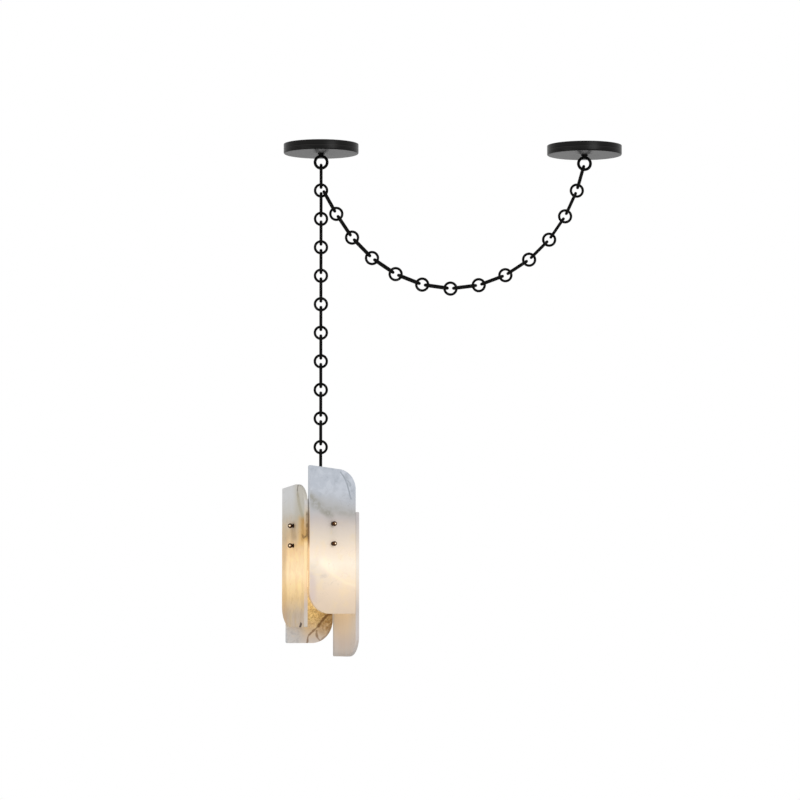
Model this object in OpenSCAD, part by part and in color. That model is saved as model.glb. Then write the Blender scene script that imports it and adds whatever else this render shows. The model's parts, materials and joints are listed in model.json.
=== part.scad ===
// Pendant lamp on a swagged chain.
// Two round ceiling canopies carry a chain of round rings and long links.
// From the left canopy the chain drops straight to a lamp body of four stone slabs,
// and a second run swags from its first ring across to the right canopy.
// Millimetres, +Z up. The origin is the middle of the left canopy at the ceiling.
// The chain hangs in the XZ plane.

/* [Canopies] */
// Diameter of a canopy
canopy_d = 152; // [130:1:180]
// Height of a canopy
canopy_h = 19.5; // [18:0.5:30]
// Sheet thickness of a canopy
canopy_wall = 1.2; // [0.8:0.1:1.6]
// Radius of a canopy's lower edge
canopy_edge_r = 2.4; // [2:0.1:4]

/* [Crossbars] */
// Metal past the end of a crossbar's slot
bar_end = 4.5; // [3:0.5:8]
// Width of a crossbar
bar_w = 18; // [16:1:24]
// Thickness of a crossbar
bar_t = 2; // [1.5:0.1:3]
// Distance between the middles of a crossbar's two slots
slot_spacing = 88.9; // [80:0.1:90]
// End-to-end length of a slot
slot_l = 12; // [8:0.5:13]
// Width of a slot
slot_w = 5; // [4.5:0.1:6]

/* [Threads and nuts] */
// Outer diameter of the loops' and the eye's threaded shanks
shank_d = 9.6; // [8:0.1:10]
// Free space round a shank or a screw in its hole
fit_gap = 0.2; // [0.1:0.05:0.3]
// Size across flats of a shank's nut
nut_af = 14.3; // [13:0.1:17]
// Thickness of a shank's nut
nut_t = 4; // [3:0.1:5]
// Diameter of the washer between a canopy and its loop
washer_d = 14; // [13:0.1:18]
// Thickness of that washer
washer_t = 1.2; // [0.8:0.1:2]
// Diameter of the shoulder between a loop and its shank
shoulder_d = 12; // [11:0.1:13]
// Distance of the loops' shanks below the ceiling
shank_top_gap = 0.5; // [0.2:0.1:1]

/* [Chain] */
// Hole of a round ring
ring_hole_d = 19; // [18:0.1:22]
// Wire of a round ring
ring_wire = 5.2; // [4:0.1:5.6]
// Inside length of a long link
link_inner_l = 39.5; // [32:0.5:50]
// Inside width of a long link
link_inner_w = 12; // [11:0.1:14]
// Wire of a long link
link_wire = 6.1; // [5:0.1:6.4]
// Free space between a link and the ring that it hangs in
chain_gap = 0.3; // [0.2:0.05:0.5]
// Hole of the fixed loops and of the lamp's eye
loop_hole_d = 18.6; // [18:0.1:22]
// Wire of the fixed loops and of the lamp's eye
loop_wire = 6; // [4.5:0.1:6.2]
// Length of the neck between a loop's shoulder and its crown
loop_neck = 0.5; // [0.4:0.1:3]

/* [Swag] */
// Angle of the two swag links beside the lowest ring
swag_low_angle = 7.5; // [6:0.1:8]
// Turn from one swag link to the next, beside the lowest ring
swag_turn = 14.1; // [13:0.1:14.5]
// How much that turn lessens along the swag
swag_ease = 0.49; // [0.36:0.01:0.5]
// Angle of the swag's first link below level
swag_start_angle = 60.4; // [56:0.5:62]
// Room for the drop's second link to swing towards the swag, in degrees
junction_room = 4; // [3:0.5:6]

/* [Stone slabs] */
// Turn of the lamp body about the vertical
shade_turn = 25.3; // [0:0.1:45]
// Width of a slab
stone_w = 103; // [95:1:120]
// Thickness of a slab
stone_t = 7.5; // [6:0.5:10]
// Height of the front and the back slab
front_stone_h = 296.5; // [280:0.5:320]
// Height of the left and the right slab
side_stone_h = 290.5; // [280:0.5:320]
// How far each slab hangs below the one before it
stone_step = 29.5; // [20:0.1:32]
// Open joint between neighbouring slabs
stone_joint = 2.2; // [1:0.1:4]
// How far the front and the back slab stand out past the side slabs' ends
front_proud = 3.5; // [0:0.1:6]
// Slope of a slab's top edge over its width
stone_rake = 11; // [0:0.1:16]
// Radius of a slab's rounded top corner
top_round_r = 40; // [20:1:48]
// Radius of the rounded foot corner of the front and the back slab
front_foot_round_r = 47; // [20:1:50]
// Radius of the rounded foot corner of the left and the right slab
side_foot_round_r = 41; // [20:1:50]
// Radius of a slab's two nearly square corners
sharp_round_r = 3; // [1:0.5:6]
// Height of the front slab's top above its upper screw
front_top_rise = 116.7; // [110:0.1:125]
// How much lower than an even step the side slabs' tops are
side_top_drop = 3.5; // [0:0.5:6]

/* [Slab bracket] */
// Sheet thickness of the bracket
bracket_t = 2.5; // [2:0.1:3]
// Width of the bracket's arms
bracket_w = 30; // [26:1:40]
// Inside radius of the bracket's bends
bracket_bend_r = 3; // [2:0.5:6]
// Length of the bracket's legs
leg_l = 68; // [64:1:74]
// Depth of the upper screws below the bracket's top
screw_depth = 14.6; // [12:0.1:17]
// Distance from an upper screw to the lower one
screw_pitch = 39.8; // [34:0.1:42]
// How much lower the side slabs' screws are than the front and back ones
side_screw_drop = 3.6; // [0:0.1:5]
// Thickness of the rubber pad behind a slab
pad_t = 1; // [0.5:0.1:2]
// Space above and below the bracket's plate, in which the lamp body turns
turn_gap = 0.3; // [0.2:0.05:0.5]

/* [Ball-headed screws] */
// Diameter of a ball head
ball_d = 10; // [8:0.1:12]
// Distance of the ball's middle from the stone
ball_reach = 7; // [6:0.1:9]
// Diameter of the neck behind the ball
neck_d = 5; // [4.4:0.1:6]
// Diameter of the foot disc on the stone
foot_d = 8.6; // [7:0.1:10]
// Thickness of the foot disc
foot_t = 1; // [0.6:0.1:1.5]
// Diameter of the screw's shank
screw_d = 4; // [3:0.1:5]
// Hole in the stone for a screw
stone_hole_d = 5; // [4.8:0.1:6.5]
// Size across flats of a screw's nut
screw_nut_af = 7.5; // [7.2:0.1:9]
// Thickness of a screw's nut
screw_nut_t = 3.2; // [2.4:0.1:4]

/* [Lampholder and bulb] */
// Length of the sleeve between the eye and the bracket
sleeve_l = 67.5; // [55:0.1:75]
// Outer diameter of that sleeve
sleeve_d = 13; // [12:0.1:16]
// Outer diameter of the lampholder
holder_d = 36; // [34:0.1:38]
// Height of the lampholder's body
holder_h = 46; // [42:0.5:52]
// Height of the lampholder's cap
cap_h = 14; // [12:0.5:18]
// Height of the cap's sloping part
cap_slope_h = 8.4; // [7:0.1:9]
// Length of the eye's shank inside the cap
shank_in_cap = 7; // [4:0.5:9]
// Diameter of the cap's flat top
cap_top_d = 19; // [18:0.1:24]
// Wall of the cap and of the lampholder
holder_wall = 2.4; // [1.6:0.1:2.8]
// Outer diameter of the brass screw shell in the lampholder
shell_d = 29.2; // [28.8:0.1:29.4]
// Wall of the screw shell
shell_wall = 0.8; // [0.5:0.1:1]
// Diameter of the bulb's screw base
base_d = 26.4; // [26:0.1:27]
// Length of the bulb's screw base
base_l = 24; // [20:0.5:26]
// Height of the base's tapered tip
base_tip_h = 3; // [2:0.5:4]
// Diameter of the base's end contact
base_tip_d = 9; // [8:0.5:12]
// Depth of the base's thread
thread_depth = 1.1; // [0.9:0.1:1.4]
// Distance from one round of that thread to the next
thread_pitch = 3.6; // [3:0.1:4]
// Diameter of the bulb's globe
globe_d = 60; // [50:1:66]
// Length of the bulb's glass below its base
glass_l = 84; // [76:0.5:96]
// Diameter of the glass at the base
glass_neck_d = 27; // [24:0.5:28]
// Length of the glass's straight neck
glass_neck_l = 4; // [3:0.5:8]
// Wall of the glass
glass_wall = 1; // [0.6:0.1:1.5]

/* [Hidden] */
$fn = 64;
drop_links = 11;
swag_rings = 12;
swag_left_turns = 5;
past = 1;
bar_l = slot_spacing + slot_l + 2 * bar_end;

// A link's end wire sits this far from the middle of its ring or loop
seat = ring_hole_d / 2 - chain_gap - link_wire / 2;
loop_seat = loop_hole_d / 2 - chain_gap - link_wire / 2;
link_reach = link_inner_l + link_wire;
end_r = (link_inner_w + link_wire) / 2;
ring_r = (ring_hole_d + ring_wire) / 2;
loop_r = (loop_hole_d + loop_wire) / 2;
loop_out_r = loop_hole_d / 2 + loop_wire;
shoulder_z = loop_out_r + loop_neck;
pitch = 2 * seat + link_reach;

// Heights of the left loop and of the straight drop
loop_z = -canopy_h - washer_t - shoulder_z;
junction_z = loop_z - loop_seat - link_reach - seat;
function ring_z(k) = junction_z - (k - 1) * pitch;
function link_z(k) = (k == 1 ? loop_z - loop_seat : ring_z(k - 1) - seat) - link_reach / 2;
eye_z = ring_z(drop_links - 1) - seat - link_reach - loop_seat;

// The swag is a chain of straight steps, each turned as the swag's law says.
// The whole run is tilted a little, so that it ends level with the left loop.
junction_angle = 2 * asin((link_wire + chain_gap) / (2 * seat)) + junction_room;
swag_start = [seat * sin(junction_angle), junction_z - seat * cos(junction_angle)];
function swag_law(k) = swag_low_angle + swag_turn * k - swag_ease * k * k;
function swag_plain_angle(i) =
    i == 0 ? -swag_start_angle
    : i <= swag_left_turns ? -swag_law(swag_left_turns - i)
    : swag_law(i - swag_left_turns - 1);
function swag_step(i) =
    i == 0 ? link_reach + seat
    : i == swag_rings ? seat + link_reach + loop_seat
    : pitch;
function heading(a) = [cos(a), sin(a)];
function plain_sum(i) = i < 0 ? [0, 0] : plain_sum(i - 1) + swag_step(i) * heading(swag_plain_angle(i));
swag_span = plain_sum(swag_rings);
swag_tilt = asin((loop_z - swag_start[1]) / norm(swag_span)) - atan2(swag_span[1], swag_span[0]);
function swag_angle(i) = swag_plain_angle(i) + swag_tilt;
function swag_point(i) =
    i == 0 ? swag_start : swag_point(i - 1) + swag_step(i - 1) * heading(swag_angle(i - 1));
function swag_link_middle(i) =
    swag_point(i) + ((i == 0 ? 0 : seat) + link_reach / 2) * heading(swag_angle(i));
canopy_spacing = swag_point(swag_rings + 1)[0];

// The lamp body is a box of slabs. The front and the back slab fit between the side ones.
box_v = stone_w / 2 + front_proud;
box_u = stone_w / 2 + stone_joint + stone_t;
arm_v = box_v - stone_t - pad_t;
arm_u = box_u - stone_t - pad_t;
shoulder_end_z = eye_z - shoulder_z;
bracket_z = shoulder_end_z - sleeve_l - turn_gap;
screw_z = [bracket_z - screw_depth, bracket_z - screw_depth - screw_pitch];
nuts_z = bracket_z - bracket_t - turn_gap;
cap_z = nuts_z - 2 * nut_t;
holder_z = cap_z - cap_h;
glass_z = holder_z - holder_h;
eye_shank_l = shoulder_end_z - cap_z + shank_in_cap;
screw_grip = stone_t + pad_t + bracket_t;
screw_end = screw_grip + screw_nut_t + past;

// The four sides in turn: the turn about the vertical, the distance of the slab's outer face,
// and how much lower its screws and its top are
SIDES = [
    [0, box_v, 0, 0],
    [-90, box_u, side_screw_drop, side_top_drop],
    [180, box_v, 0, 0],
    [90, box_u, side_screw_drop, side_top_drop]
];
function side_screw_z(side) = [for (z = screw_z) z - side[2]];

function two(k) = k < 10 ? str("0", k) : str(k);
drop_link_names = [for (k = [1:drop_links]) str("drop_link_", two(k))];
drop_ring_names = [for (k = [2:drop_links - 1]) str("drop_ring_", two(k))];

// A rectangle from y = 0 down, with its two lower corners rounded
module cup_outline(half_w, h, r) {
    translate([0, -h + r]) square([half_w, h - r]);
    translate([0, -h]) square([half_w - r, h]);
    translate([half_w - r, -h + r]) circle(r);
}

module canopy() {
    inner_r = canopy_edge_r - canopy_wall;
    color([0.10, 0.10, 0.10]) rotate_extrude() difference() {
        intersection() {
            cup_outline(canopy_d / 2, canopy_h, canopy_edge_r);
            translate([0, -canopy_h]) square([canopy_d, canopy_h]);
        }
        translate([0, past]) cup_outline(canopy_d / 2 - canopy_wall, canopy_h - canopy_wall + past, inner_r);
        translate([0, -canopy_h - past]) square([shank_d / 2 + fit_gap, canopy_h]);
    }
}

// A flat bar or a slot with round ends
module stadium(l, w) {
    square([l - w, w], center = true);
    for (side = [-1, 1]) translate([side * (l - w) / 2, 0]) circle(d = w);
}

module crossbar() {
    color([0.62, 0.62, 0.60]) translate([0, 0, -bar_t]) linear_extrude(bar_t) difference() {
        stadium(bar_l, bar_w);
        circle(d = shank_d + 2 * fit_gap);
        for (side = [-1, 1]) translate([side * slot_spacing / 2, 0]) stadium(slot_l, slot_w);
    }
}

// A ring of round wire in the XZ plane
module wire_ring(middle_r, wire) {
    rotate([90, 0, 0]) rotate_extrude() translate([middle_r, 0]) circle(d = wire);
}

module nut(af, t, hole_d) {
    difference() {
        cylinder(d = af / cos(30), h = t, $fn = 6);
        translate([0, 0, -past]) cylinder(d = hole_d, h = t + 2 * past);
    }
}

// A wire ring with a shoulder and a threaded shank, its middle at the origin
module threaded_loop(shank_l) {
    color([0.07, 0.07, 0.07]) {
        wire_ring(loop_r, loop_wire);
        translate([0, 0, loop_r]) cylinder(d1 = loop_wire, d2 = shoulder_d, h = shoulder_z - loop_r);
        translate([0, 0, shoulder_z - past / 2]) cylinder(d = shank_d, h = shank_l + past / 2);
    }
}

module loop_washer() {
    color([0.09, 0.09, 0.09]) translate([0, 0, -canopy_h - washer_t]) difference() {
        cylinder(d = washer_d, h = washer_t);
        translate([0, 0, -past]) cylinder(d = shank_d + 2 * fit_gap, h = washer_t + 2 * past);
    }
}

// One nut locks the shank under the crossbar, and one holds the canopy on the shank
module loop_nuts() {
    hole_d = shank_d + 2 * fit_gap;
    color([0.66, 0.63, 0.52]) {
        translate([0, 0, -bar_t - nut_t]) nut(nut_af, nut_t, hole_d);
        translate([0, 0, -canopy_h + canopy_wall]) nut(nut_af, nut_t, hole_d);
    }
}

// A long link in the YZ plane, its middle at the origin
module long_link() {
    straight = link_inner_l - link_inner_w;
    color([0.08, 0.08, 0.08]) {
        for (end = [0, 180]) rotate([end, 0, 0]) translate([0, 0, straight / 2]) rotate([90, 0, 90])
            rotate_extrude(angle = 180) translate([end_r, 0]) circle(d = link_wire);
        for (side = [-1, 1]) translate([0, side * end_r, -straight / 2])
            cylinder(d = link_wire, h = straight);
    }
}

module round_ring() {
    color([0.08, 0.08, 0.08]) wire_ring(ring_r, ring_wire);
}

module at_swag(p) {
    translate([p[0], 0, p[1]]) children();
}

module swag_ring_set() {
    for (i = [1:swag_rings]) at_swag(swag_point(i)) round_ring();
}

module swag_link_set() {
    for (i = [0:swag_rings])
        at_swag(swag_link_middle(i)) rotate([0, 90 - swag_angle(i), 0]) long_link();
}

// Takes a corner p off an outline, where its edges run along the unit vectors a and b
module corner_off(p, a, b, r) {
    half = acos(a * b) / 2;
    bisector = (a + b) / norm(a + b);
    middle = p + bisector * r / sin(half);
    reach = r / tan(half);
    out_a = (a * cos(2 * half) - b) * past;
    out_b = (b * cos(2 * half) - a) * past;
    difference() {
        polygon([
            middle,
            p + a * reach,
            p + a * reach + out_a,
            p - (a + b) * 2 * past,
            p + b * reach + out_b,
            p + b * reach
        ]);
        translate(middle) circle(r, $fn = 96);
    }
}

// A slab seen from outside, its foot on y = 0. The top edge rises by rake to the right.
module slab_outline(h, rake, foot_r) {
    w = stone_w / 2;
    left_h = h - max(rake, 0);
    right_h = h + min(rake, 0);
    along_top = [stone_w, rake] / norm([stone_w, rake]);
    difference() {
        polygon([[-w, 0], [w, 0], [w, right_h], [-w, left_h]]);
        corner_off([w, right_h], -along_top, [0, -1], top_round_r);
        corner_off([-w, 0], [1, 0], [0, 1], foot_r);
        corner_off([-w, left_h], along_top, [0, -1], sharp_round_r);
        corner_off([w, 0], [-1, 0], [0, 1], sharp_round_r);
    }
}

// Puts a piece that is drawn for the front slab on one of the four sides
module on_side(turn, out) {
    rotate([0, 0, shade_turn + turn]) translate([0, -out, 0]) rotate([90, 0, 0]) children();
}

// The slab of the k-th side, its high top corner k steps below that of the front one
module slab(k, h, rake, foot_r) {
    side = SIDES[k];
    foot_z = screw_z[0] + front_top_rise - k * stone_step - side[3] - h;
    on_side(side[0], side[1]) translate([0, 0, -stone_t]) difference() {
        translate([0, foot_z, 0]) linear_extrude(stone_t) slab_outline(h, rake, foot_r);
        for (z = side_screw_z(side))
            translate([0, z, -past]) cylinder(d = stone_hole_d, h = stone_t + 2 * past);
    }
}

module stone_front() {
    color([0.93, 0.89, 0.82]) slab(0, front_stone_h, -stone_rake, front_foot_round_r);
}

module stone_left() {
    color([0.90, 0.84, 0.74]) slab(1, side_stone_h, stone_rake, side_foot_round_r);
}

module stone_back() {
    color([0.86, 0.74, 0.58]) slab(2, front_stone_h, -stone_rake, front_foot_round_r);
}

module stone_right() {
    color([0.85, 0.78, 0.68]) slab(3, side_stone_h, -stone_rake, side_foot_round_r);
}

module at_screws() {
    for (side = SIDES) for (z = side_screw_z(side))
        on_side(side[0], side[1]) translate([0, z, 0]) children();
}

module ball_screws() {
    color([0.55, 0.40, 0.20]) at_screws() {
        cylinder(d = foot_d, h = foot_t);
        cylinder(d = neck_d, h = ball_reach);
        translate([0, 0, ball_reach]) sphere(d = ball_d);
        translate([0, 0, -screw_end]) cylinder(d = screw_d, h = screw_end + foot_t / 2);
    }
}

module screw_nuts() {
    color([0.66, 0.63, 0.52]) at_screws() translate([0, 0, -screw_grip - screw_nut_t])
        nut(screw_nut_af, screw_nut_t, screw_d + 2 * fit_gap);
}

module stone_pads() {
    pad_h = leg_l - bracket_bend_r - bracket_t;
    color([0.12, 0.12, 0.12]) for (side = SIDES) on_side(side[0], side[1] - stone_t)
        translate([0, 0, -pad_t]) difference() {
            translate([-bracket_w / 2, bracket_z - leg_l, 0]) cube([bracket_w, pad_h, pad_t]);
            for (z = side_screw_z(side)) translate([0, z, -past])
                cylinder(d = screw_d + 2 * fit_gap, h = pad_t + 2 * past);
        }
}

// An upside-down U of the bracket's sheet, its top edge on y = 0
module leg_pair_outline(half_span) {
    r = bracket_bend_r + bracket_t;
    inner = half_span - bracket_t;
    difference() {
        union() {
            translate([-half_span, -leg_l]) square([2 * half_span, leg_l - r]);
            translate([-half_span + r, -r - past]) square([2 * (half_span - r), r + past]);
            for (side = [-1, 1]) translate([side * (half_span - r), -r]) circle(r);
        }
        translate([-inner, -leg_l - past]) square([2 * inner, leg_l - r + past]);
        translate([-inner + bracket_bend_r, -r - past])
            square([2 * (inner - bracket_bend_r), bracket_bend_r + past]);
        for (side = [-1, 1]) translate([side * (inner - bracket_bend_r), -r]) circle(bracket_bend_r);
    }
}

module leg_pair(turn, half_span) {
    rotate([0, 0, shade_turn + turn]) translate([0, bracket_w / 2, bracket_z])
        rotate([90, 0, 0]) linear_extrude(bracket_w) leg_pair_outline(half_span);
}

module bracket() {
    color([0.30, 0.27, 0.22]) difference() {
        union() {
            leg_pair(0, arm_u);
            leg_pair(90, arm_v);
        }
        translate([0, 0, bracket_z - bracket_t - past])
            cylinder(d = shank_d + 2 * fit_gap, h = bracket_t + 2 * past);
        for (side = SIDES) for (z = side_screw_z(side))
            on_side(side[0], side[1] - stone_t - pad_t) translate([0, z, -bracket_t - past])
                cylinder(d = screw_d + 2 * fit_gap, h = bracket_t + 2 * past);
    }
}

module hang_eye() {
    translate([0, 0, eye_z]) rotate([180, 0, 0]) threaded_loop(eye_shank_l);
}

module eye_sleeve() {
    color([0.10, 0.09, 0.08]) translate([0, 0, shoulder_end_z - sleeve_l]) difference() {
        cylinder(d = sleeve_d, h = sleeve_l);
        translate([0, 0, -past]) cylinder(d = shank_d + 2 * fit_gap, h = sleeve_l + 2 * past);
    }
}

// Two nuts locked against each other, on which the bracket turns
module eye_nuts() {
    color([0.66, 0.63, 0.52]) for (n = [1, 2]) translate([0, 0, nuts_z - n * nut_t])
        rotate([0, 0, 30 * n]) nut(nut_af, nut_t, shank_d + 2 * fit_gap);
}

module holder_cap() {
    inner_r = holder_d / 2 - holder_wall;
    hole_r = shank_d / 2 + fit_gap;
    color([0.14, 0.12, 0.10]) translate([0, 0, cap_z]) rotate_extrude() polygon([
        [hole_r, 0],
        [cap_top_d / 2, 0],
        [holder_d / 2, -cap_slope_h],
        [holder_d / 2, -cap_h],
        [inner_r, -cap_h],
        [inner_r, -cap_slope_h - holder_wall],
        [cap_top_d / 2 - holder_wall / 2, -holder_wall],
        [hole_r, -holder_wall]
    ]);
}

module lampholder() {
    bore_r = shell_d / 2 + fit_gap;
    floor_z = -holder_h + base_l + 2 * shell_wall;
    color([0.16, 0.14, 0.12]) translate([0, 0, holder_z]) rotate_extrude() difference() {
        union() {
            translate([0, -holder_h]) square([holder_d / 2 - holder_wall / 2, holder_h]);
            translate([0, -2 * holder_wall]) square([holder_d / 2, 2 * holder_wall]);
            translate([0, -holder_h]) square([holder_d / 2, 2 * holder_wall]);
        }
        translate([0, -holder_h - past]) square([bore_r, floor_z + holder_h + past]);
        translate([0, -holder_h]) square([screw_d, holder_h + past]);
        translate([0, -2 * holder_wall]) square([bore_r, 2 * holder_wall + past]);
    }
}

// The threaded liner that the bulb's base screws into, with a floor and a centre contact
module screw_shell() {
    color([0.75, 0.62, 0.32]) translate([0, 0, glass_z]) rotate_extrude() difference() {
        square([shell_d / 2, base_l + 2 * shell_wall]);
        translate([0, -past]) square([shell_d / 2 - shell_wall, base_l + shell_wall + past]);
        translate([0, base_l]) square([screw_d / 2, 3 * shell_wall]);
    }
}

module bulb_base() {
    core_d = base_d - 2 * thread_depth;
    core_h = base_l - base_tip_h;
    rounds = floor(core_h / thread_pitch);
    color([0.78, 0.78, 0.76]) translate([0, 0, glass_z]) {
        cylinder(d = core_d, h = core_h);
        translate([0, 0, core_h]) cylinder(d1 = core_d, d2 = base_tip_d, h = base_tip_h);
        for (n = [1:rounds]) translate([0, 0, n * thread_pitch])
            rotate_extrude() translate([core_d / 2, 0]) circle(thread_depth, $fn = 24);
    }
}

// Half of the glass's section, grown inwards by wall: a globe and the cone from it to the neck
module glass_outline(wall, top) {
    r = globe_d / 2 - wall;
    neck_r = glass_neck_d / 2 - wall;
    globe_y = globe_d / 2 - glass_l;
    rise = -glass_neck_l - globe_y;
    touch = atan2(rise, neck_r) - acos(r / norm([neck_r, rise]));
    intersection() {
        union() {
            translate([0, globe_y]) circle(r, $fn = 96);
            polygon([
                [0, globe_y],
                [r * cos(touch), globe_y + r * sin(touch)],
                [neck_r, -glass_neck_l],
                [neck_r, top],
                [0, top]
            ]);
        }
        translate([0, -glass_l - past]) square([globe_d, glass_l + 2 * past]);
    }
}

module bulb_glass() {
    color([0.97, 0.95, 0.88]) translate([0, 0, glass_z]) rotate_extrude() difference() {
        glass_outline(0, 0);
        glass_outline(glass_wall, past);
    }
}

module at_right() {
    translate([canopy_spacing, 0, 0]) children();
}

module left_loop() {
    translate([0, 0, loop_z]) threaded_loop(canopy_h + washer_t - shank_top_gap);
}

canopy();  // canopy_left
at_right() canopy();  // canopy_right
crossbar();  // crossbar_left
at_right() crossbar();  // crossbar_right
left_loop();  // hang_loop_left
at_right() left_loop();  // hang_loop_right
loop_washer();  // loop_washer_left
at_right() loop_washer();  // loop_washer_right
loop_nuts();  // loop_nuts_left
at_right() loop_nuts();  // loop_nuts_right
translate([0, 0, junction_z]) round_ring();  // junction_ring
swag_ring_set();  // swag_rings
swag_link_set();  // swag_links
for (k = [1:drop_links])
    translate([0, 0, link_z(k)]) long_link();
for (k = [2:drop_links - 1])
    translate([0, 0, ring_z(k)]) round_ring();
hang_eye();
eye_sleeve();
eye_nuts();
holder_cap();
lampholder();
screw_shell();
bulb_base();
bulb_glass();
bracket();
stone_pads();
ball_screws();
screw_nuts();
stone_front();
stone_left();
stone_back();
stone_right();
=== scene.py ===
# %% [markdown]
# A pendant lamp on a swagged chain
#
# Two flat ceiling canopies carry a blackened chain of round rings and long links. From
# the left one the chain drops to four slabs of translucent banded stone round a bulb.
# The measured model is already there as a fixed frame, so this lesson is about finish:
# smooth metal in place of facets, soft edges on the stone, and light inside it.

# %% Load the frame
import json
import math

import bmesh
import bpy
from mathutils import Matrix, Vector


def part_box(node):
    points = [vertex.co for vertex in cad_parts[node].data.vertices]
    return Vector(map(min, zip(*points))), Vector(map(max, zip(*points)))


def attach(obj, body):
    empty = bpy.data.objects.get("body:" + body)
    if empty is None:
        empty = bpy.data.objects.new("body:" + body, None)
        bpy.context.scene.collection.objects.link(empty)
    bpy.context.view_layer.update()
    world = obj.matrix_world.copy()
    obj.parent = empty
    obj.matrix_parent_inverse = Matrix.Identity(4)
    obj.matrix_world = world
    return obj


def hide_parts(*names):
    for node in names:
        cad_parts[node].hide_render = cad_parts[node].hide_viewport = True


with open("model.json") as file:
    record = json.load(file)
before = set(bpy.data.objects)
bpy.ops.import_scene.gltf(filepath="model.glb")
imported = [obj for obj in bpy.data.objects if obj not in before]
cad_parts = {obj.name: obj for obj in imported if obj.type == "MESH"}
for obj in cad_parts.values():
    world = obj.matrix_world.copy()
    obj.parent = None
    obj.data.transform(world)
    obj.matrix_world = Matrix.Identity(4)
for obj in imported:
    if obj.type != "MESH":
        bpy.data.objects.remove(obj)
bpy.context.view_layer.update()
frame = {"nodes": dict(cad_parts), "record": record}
mm = 0.001  # Blender measures in metres, so 5 mm is written as 5 * mm.

# %% [markdown]
# The camera comes first, because every choice of colour is judged through it. The
# photograph looks slightly up at the lamp from far away with a long lens, so upright
# edges stay nearly upright and the undersides of the canopies just show.

# %% Camera
camera_place = Vector((-0.1098, -6.85, -0.9623))
camera_aim = Vector((0.1602, 0.0, -0.5196))
camera_data = bpy.data.cameras.new("camera")
camera_data.sensor_width = 36.0
camera_data.lens = 152.9
camera = bpy.data.objects.new("camera", camera_data)
camera.location = camera_place
camera.rotation_euler = (camera_aim - camera_place).to_track_quat("-Z", "Y").to_euler()
bpy.context.scene.collection.objects.link(camera)
bpy.context.scene.camera = camera
print("camera is", round((camera_aim - camera_place).length, 2), "m from its aim")

# %% [markdown]
# Colours and roughness come from nodes. They could be joined one by one, but a slab has
# hundreds, and node maths reads better as arithmetic. So one small class wraps a
# socket, and `1 - mask` adds the right node.

# %% Shader arithmetic


class Value:
    """A number, colour or vector inside a tree of nodes, on which arithmetic adds nodes."""

    def __init__(self, nodes, socket):
        self.nodes = nodes
        self.socket = socket

    def maths(self, operation, *numbers):
        return self.nodes.node("ShaderNodeMath", {"operation": operation}, dict(enumerate(numbers)))

    def __add__(self, other):
        return self.maths("ADD", self, other)

    __radd__ = __add__

    def __sub__(self, other):
        return self.maths("SUBTRACT", self, other)

    def __rsub__(self, other):
        return self.maths("SUBTRACT", other, self)

    def __mul__(self, other):
        return self.maths("MULTIPLY", self, other)

    __rmul__ = __mul__

    def __pow__(self, other):
        return self.maths("POWER", self, other)

    def __abs__(self):
        return self.maths("ABSOLUTE", self)

    def most(self, other):
        """The greater of the two."""
        return self.maths("MAXIMUM", self, other)

    def step(self, low, high):
        """0 below low, 1 above high, and smooth between them. High may be the lower one."""
        return self.ranged(low, high, "SMOOTHSTEP")

    def share(self, low, high):
        """The same, but rising evenly."""
        return self.ranged(low, high, "LINEAR")

    def ranged(self, low, high, blend):
        falling = high < low
        places = {"Value": self, "From Min": min(low, high), "From Max": max(low, high)}
        places.update({"To Min": float(falling), "To Max": float(not falling)})
        return self.nodes.node("ShaderNodeMapRange", {"interpolation_type": blend}, places)


print("values have arithmetic and", [name for name in vars(Value) if name.isalpha()])

# %% [markdown]
# A second class stands for a tree of nodes and adds any node in the same way: settings
# first, then sockets. A finish is the tree of a material. It reads the piece's own
# object coordinates, so a pattern has a real size and stays on a piece that moves.

# %% Trees of nodes


class Nodes:
    """A tree of nodes in the making, and the shader that it feeds."""

    def __init__(self, tree, shader):
        self.tree = tree
        self.shader = tree.nodes[shader]

    def fill(self, socket, value):
        if isinstance(value, Value):
            self.tree.links.new(value.socket, socket)
        elif isinstance(value, tuple) and len(value) == 3 and socket.type == "RGBA":
            socket.default_value = (*value, 1)
        else:
            socket.default_value = value

    def node(self, kind, settings, places, out=0):
        """Adds any node: its settings first, then the values or links of its sockets."""
        made = self.tree.nodes.new(kind)
        for key, value in settings.items():
            setattr(made, key, value)
        for key, value in places.items():
            self.fill(made.inputs[key], value)
        return Value(self, made.outputs[out])

    def set(self, **values):
        """Sets sockets of the shader, such as Base_Color=..."""
        for key, value in values.items():
            self.fill(self.shader.inputs[key.replace("_", " ")], value)

    def mix(self, share, first, second):
        """The first colour, with a share of the second laid over it."""
        settings = {"data_type": "RGBA"}
        return self.node("ShaderNodeMix", settings, {0: share, 6: first, 7: second}, 2)

    def scaled(self, colour, amount):
        """A colour made lighter or darker by an amount."""
        return self.node("ShaderNodeVectorMath", {"operation": "SCALE"}, {0: colour, 3: amount})

    def seen(self):
        """1 for what the camera sees, also through glass or in a reflection, and 0 for light."""
        kinds = ("Is Camera Ray", "Is Glossy Ray", "Is Transmission Ray")
        rays = [self.node("ShaderNodeLightPath", {}, {}, kind) for kind in kinds]
        return rays[0].most(rays[1]).most(rays[2])


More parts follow.
